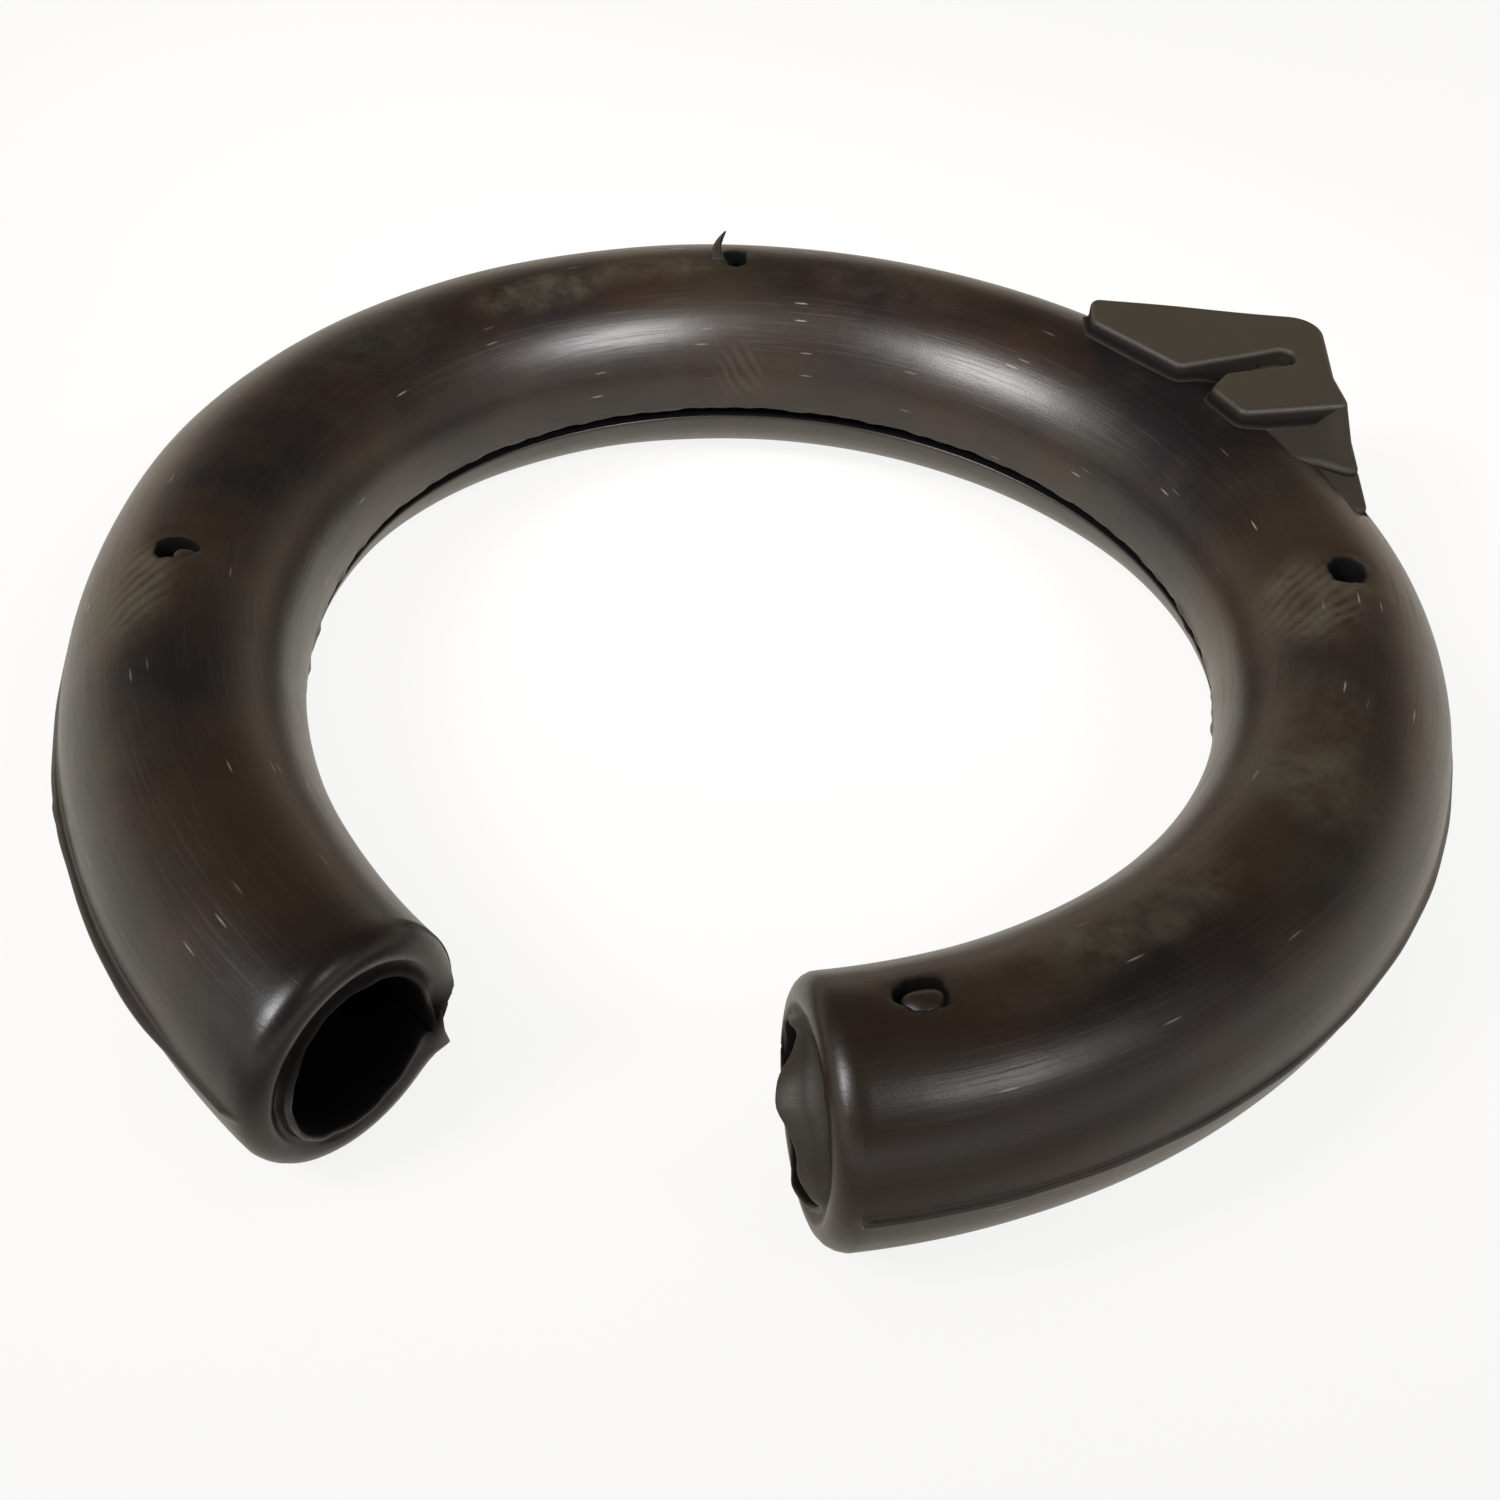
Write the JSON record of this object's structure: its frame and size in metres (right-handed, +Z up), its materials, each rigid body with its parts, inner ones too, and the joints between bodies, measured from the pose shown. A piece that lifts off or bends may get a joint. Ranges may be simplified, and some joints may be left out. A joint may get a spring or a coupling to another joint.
{
  "type": "coil spring insulator",
  "caption": "Moulded rubber sleeve bent into an open ring for the end coil of a car's road spring, with a slit inside and a ribbed corner lug outside",
  "frame": {"origin": "middle of the bounding box's underside, where the ring lies on a flat surface", "axes": "+Z up out of the ring's plane, +Y from the open ends to the back of the ring, +X from the ring's centre to the side with the lug"},
  "size_m": [0.15, 0.1552, 0.0287],
  "materials": {
    "rubber": "black moulded rubber, satin"
  },
  "bodies": {
    "root": {"spring_insulator": "rubber"}
  },
  "joints": []
}
